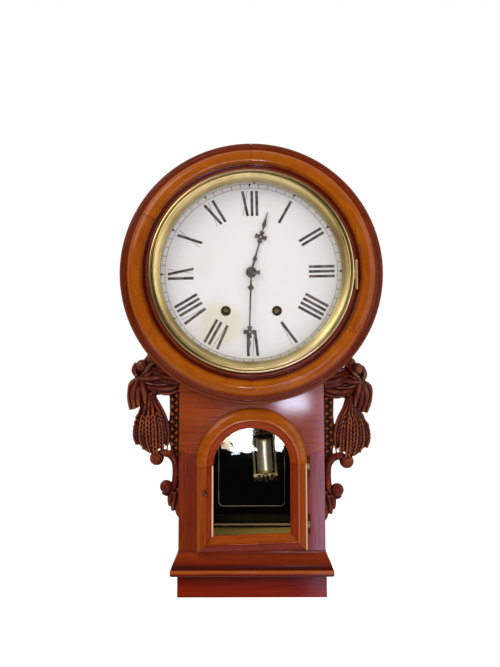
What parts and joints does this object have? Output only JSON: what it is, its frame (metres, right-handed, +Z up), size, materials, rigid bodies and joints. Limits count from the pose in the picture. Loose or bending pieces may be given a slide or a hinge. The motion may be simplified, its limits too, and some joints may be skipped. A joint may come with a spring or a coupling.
{
  "type": "drop dial wall clock",
  "caption": "Drop-dial wall clock: round wooden head with a glazed brass bezel, carved ears, arched glazed trunk door, pendulum and striking movement.",
  "frame": {"origin": "centre of the hanging hole, on the back plane that lies against the wall", "axes": "+X to the right seen from the front, +Y into the wall along the hanging hole, +Z up"},
  "size_m": [0.4449, 0.126, 0.7615],
  "materials": {
    "case_veneer": "French-polished veneer, straight grain across the boards",
    "stile_wood": "French-polished veneer, grain up and down",
    "ring_wood": "turned and polished, golden band between dark red mouldings",
    "dark_wood": "dark red polish, worn at the edges",
    "carved_wood": "carved and stained, polish rubbed off the high places",
    "back_wood": "planed softwood, unpolished",
    "mirror_glass": "silvered glass with a ground bevel",
    "clear_glass": "clear old window glass",
    "dial_paint": "cream paint with black numerals, worn",
    "dark_steel": "patinated steel",
    "black_iron": "blackened iron and wire",
    "bright_steel": "plain steel",
    "bezel_brass": "polished brass under old lacquer",
    "case_brass": "tarnished brass",
    "movement_brass": "rolled brass",
    "bob_silver": "nickel-plated tube",
    "bob_brass": "cast and gilded brass"
  },
  "bodies": {
    "root": {"back_board": "back_wood", "side_board_left": "case_veneer", "side_board_right": "case_veneer", "top_board": "case_veneer", "floor_board": "back_wood", "head_board": "case_veneer", "head_ring": "ring_wood", "trunk_panel": "case_veneer", "trunk_stile_left": "stile_wood", "trunk_stile_right": "stile_wood", "trunk_bottom_rail": "case_veneer", "ear_left": "carved_wood", "ear_right": "carved_wood", "base_moulding": "dark_wood", "base_slab": "dark_wood", "plinth": "dark_wood", "mirror": "mirror_glass", "hanger_plate": "case_brass", "dial": "dial_paint", "dial_pins": "dark_steel", "winding_grommets": "case_brass", "gong": "black_iron", "movement_feet": "movement_brass", "movement_back_plate": "movement_brass", "movement_front_plate": "movement_brass", "suspension_cock": "movement_brass", "mainsprings": "bright_steel", "bezel_hinge_plate": "bezel_brass", "door_hinge_plates": "case_brass"},
    "bezel": {"bezel_ring": "bezel_brass", "bezel_glass": "clear_glass", "bezel_leaf": "bezel_brass", "bezel_catch": "bezel_brass"},
    "door": {"door_arch": "dark_wood", "door_stile_left": "dark_wood", "door_stile_right": "dark_wood", "door_rail": "dark_wood", "door_glass": "clear_glass", "door_leaves": "case_brass"},
    "door_knob": {"door_knob": "case_brass"},
    "minute": {"centre_arbor": "movement_brass", "minute_hand": "dark_steel", "hand_pin": "dark_steel"},
    "hour": {"hour_wheel": "movement_brass", "hour_hand": "dark_steel"},
    "minute_wheel": {"minute_wheel": "movement_brass"},
    "time_great": {"time_great_wheel": "movement_brass"},
    "second": {"second_wheel": "movement_brass"},
    "third": {"third_wheel": "movement_brass"},
    "escape": {"escape_wheel": "movement_brass"},
    "pendulum": {"pendulum_rod": "bright_steel", "bob_tube": "bob_silver", "bob_columns": "bob_brass", "bob_mounts": "bob_brass"},
    "crutch": {"verge_and_crutch": "bright_steel"},
    "strike_great": {"strike_great_wheel": "movement_brass"},
    "strike_pin": {"strike_pin_wheel": "movement_brass"},
    "strike_locking": {"strike_locking_wheel": "movement_brass"},
    "strike_fly": {"strike_fly": "movement_brass"},
    "hammer": {"hammer": "bright_steel"}
  },
  "joints": [
    {"name": "bezel_hinge", "type": "hinge", "parent": "root", "child": "bezel", "pos_m": [0.1746, -0.119, -0.158], "axis": [0, 0, 1], "range_deg": [0, 110]},
    {"name": "door_hinge", "type": "hinge", "parent": "root", "child": "door", "pos_m": [0.09415, -0.0954, -0.54], "axis": [0, 0, 1], "range_deg": [0, 100]},
    {"name": "knob_turn", "type": "hinge", "parent": "door", "child": "door_knob", "pos_m": [-0.07575, -0.1, -0.51607], "axis": [0, 1, 0], "range_deg": [-90, 0]},
    {"name": "minute_turn", "type": "hinge", "parent": "root", "child": "minute", "pos_m": [0, -0.06, -0.15], "axis": [0, 1, 0], "continuous": true},
    {"name": "hour_turn", "type": "hinge", "parent": "root", "child": "hour", "pos_m": [0, -0.06, -0.15], "axis": [0, 1, 0], "continuous": true},
    {"name": "minute_wheel_turn", "type": "hinge", "parent": "root", "child": "minute_wheel", "pos_m": [-0.01697, -0.06, -0.13303], "axis": [0, 1, 0], "continuous": true},
    {"name": "time_great_turn", "type": "hinge", "parent": "root", "child": "time_great", "pos_m": [0.0435, -0.06, -0.2157], "axis": [0, 1, 0], "continuous": true},
    {"name": "second_turn", "type": "hinge", "parent": "root", "child": "second", "pos_m": [0.03472, -0.06, -0.1757], "axis": [0, 1, 0], "continuous": true},
    {"name": "third_turn", "type": "hinge", "parent": "root", "child": "third", "pos_m": [0.01764, -0.06, -0.13417], "axis": [0, 1, 0], "continuous": true},
    {"name": "escape_turn", "type": "hinge", "parent": "root", "child": "escape", "pos_m": [0, -0.06, -0.1258], "axis": [0, 1, 0], "continuous": true},
    {"name": "pendulum_swing", "type": "hinge", "parent": "root", "child": "pendulum", "pos_m": [0, -0.034, -0.1063], "axis": [0, 1, 0], "range_deg": [-0.9, 8.1]},
    {"name": "crutch_swing", "type": "hinge", "parent": "root", "child": "crutch", "pos_m": [0, -0.06, -0.1063], "axis": [0, 1, 0], "range_deg": [-0.9, 8.1]},
    {"name": "strike_pin_turn", "type": "hinge", "parent": "root", "child": "strike_pin", "pos_m": [-0.03472, -0.06, -0.1757], "axis": [0, 1, 0], "continuous": true},
    {"name": "strike_great_turn", "type": "hinge", "parent": "root", "child": "strike_great", "pos_m": [-0.0435, -0.06, -0.2157], "axis": [0, 1, 0], "continuous": true},
    {"name": "strike_locking_turn", "type": "hinge", "parent": "root", "child": "strike_locking", "pos_m": [-0.03884, -0.06, -0.15236], "axis": [0, 1, 0], "continuous": true},
    {"name": "fly_turn", "type": "hinge", "parent": "root", "child": "strike_fly", "pos_m": [-0.02963, -0.06, -0.13641], "axis": [0, 1, 0], "continuous": true},
    {"name": "hammer_swing", "type": "hinge", "parent": "root", "child": "hammer", "pos_m": [-0.06, -0.06, -0.176], "axis": [0, 1, 0], "range_deg": [-3.6, 10]}
  ],
  "couplings": [
    {"joint": "hour_turn", "follows": "minute_turn", "ratio": 0.083333},
    {"joint": "minute_wheel_turn", "follows": "minute_turn", "ratio": -0.33333},
    {"joint": "second_turn", "follows": "minute_turn", "ratio": -1},
    {"joint": "time_great_turn", "follows": "minute_turn", "ratio": 0.083333},
    {"joint": "third_turn", "follows": "minute_turn", "ratio": -10.286},
    {"joint": "escape_turn", "follows": "minute_turn", "ratio": 94.041},
    {"joint": "crutch_swing", "follows": "pendulum_swing", "ratio": 1},
    {"joint": "strike_great_turn", "follows": "strike_pin_turn", "ratio": -0.083333},
    {"joint": "strike_locking_turn", "follows": "strike_pin_turn", "ratio": -10.286},
    {"joint": "fly_turn", "follows": "strike_pin_turn", "ratio": 88.163}
  ]
}
